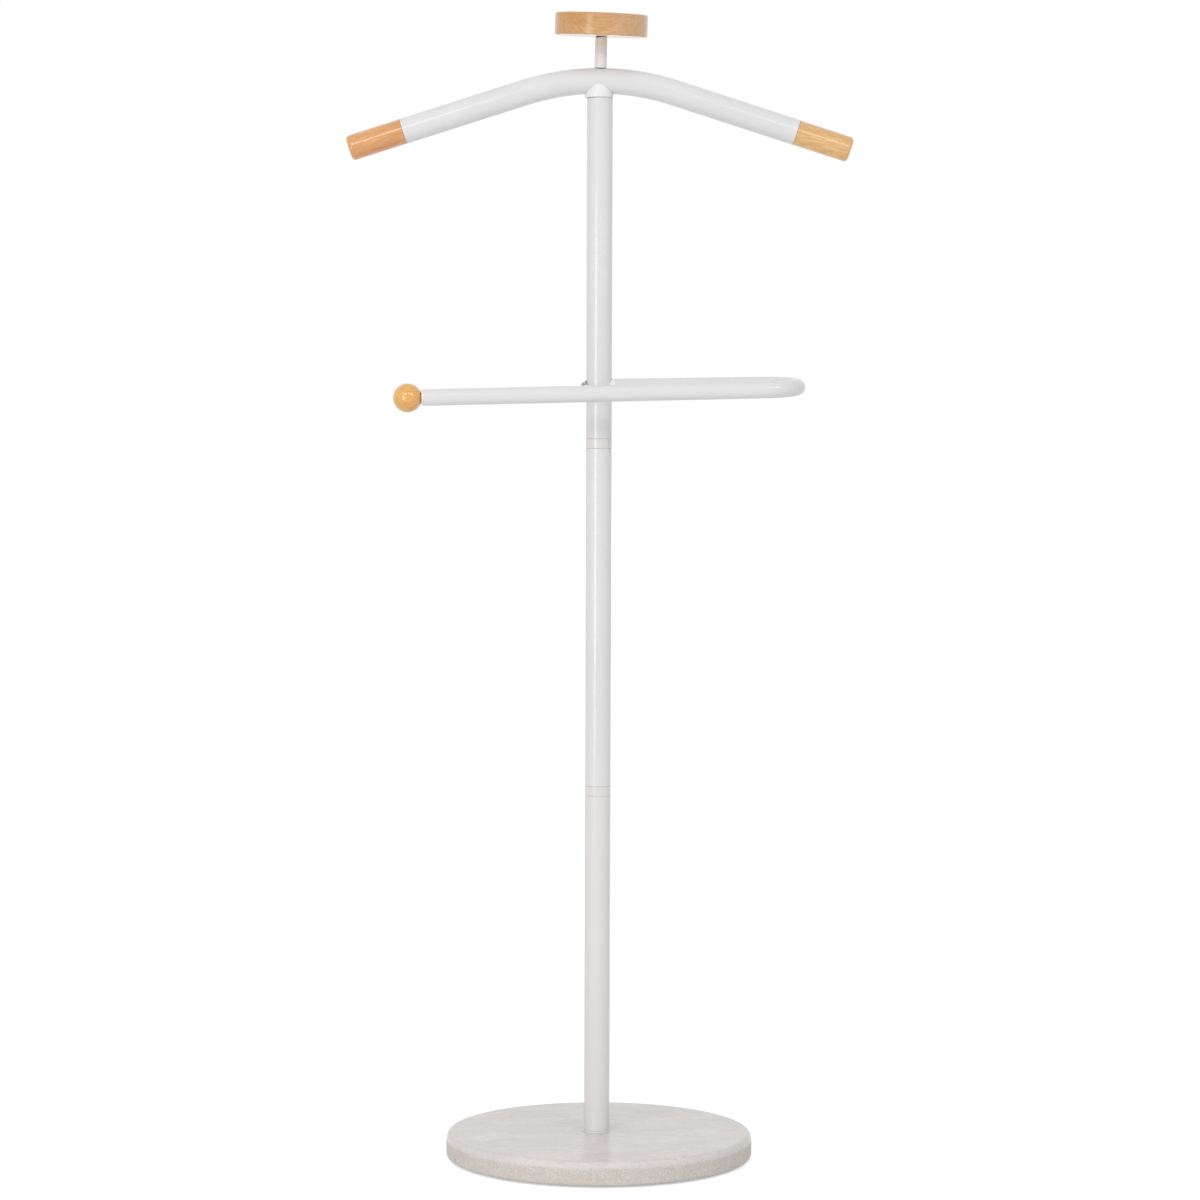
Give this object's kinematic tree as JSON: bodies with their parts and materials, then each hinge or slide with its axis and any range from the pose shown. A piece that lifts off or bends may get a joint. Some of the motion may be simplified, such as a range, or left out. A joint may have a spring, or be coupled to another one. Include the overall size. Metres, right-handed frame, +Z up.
{
  "type": "valet stand",
  "caption": "Free-standing valet stand: marble base, white sectioned pole, bent shoulder hanger with wooden caps, wooden hat disc and a turning U-shaped trouser bar.",
  "frame": {"origin": "on the floor under the axis of the pole", "axes": "+Z up along the pole, +X towards the bend of the trouser bar, the front of the stand faces -Y"},
  "size_m": [0.4928, 0.3, 1.1204],
  "materials": {
    "marble": "polished top, honed side, faint grey veins",
    "white_coat": "smooth semi-gloss powder coat",
    "white_plastic": "semi-gloss",
    "cap_wood": "satin clear lacquer, grain along the cap",
    "disc_wood": "satin clear lacquer, grain across the disc",
    "ball_wood": "satin clear lacquer",
    "dark_steel": "black oxide",
    "zinc_steel": "zinc plated",
    "pad_rubber": "matte"
  },
  "bodies": {
    "stand": {"marble_slab": "marble", "floor_pad_1": "pad_rubber", "floor_pad_2": "pad_rubber", "floor_pad_3": "pad_rubber", "floor_pad_4": "pad_rubber", "base_bolt": "zinc_steel", "slab_washer": "zinc_steel", "lock_washer": "zinc_steel", "foot_washer": "white_plastic", "foot_insert": "zinc_steel", "lower_pole_tube": "white_coat", "lower_joint_socket": "zinc_steel", "lower_joint_stud": "zinc_steel", "lower_joint_connector": "white_coat", "middle_pole_tube": "white_coat", "upper_joint_socket": "zinc_steel", "upper_joint_stud": "zinc_steel", "upper_joint_connector": "white_coat", "upper_pole_tube": "white_coat", "top_insert": "zinc_steel", "saddle_collar": "white_plastic", "shoulder_tube": "white_coat", "shoulder_stud": "zinc_steel", "left_end_cap": "cap_wood", "right_end_cap": "cap_wood", "hat_post": "white_coat", "disc_screw": "zinc_steel", "hat_disc": "disc_wood", "bar_spacer": "white_plastic", "curved_washer": "dark_steel"},
    "bar": {"bar_bolt": "dark_steel", "bar_insert": "zinc_steel", "bar_tube": "white_coat", "ball_plug": "white_plastic", "ball_stud": "zinc_steel", "wooden_ball": "ball_wood"}
  },
  "joints": [
    {"name": "trouser_bar", "type": "hinge", "parent": "stand", "child": "bar", "pos_m": [0, 0, 0.7558], "axis": [1, 0, 0], "range_deg": [-74, 62]}
  ]
}
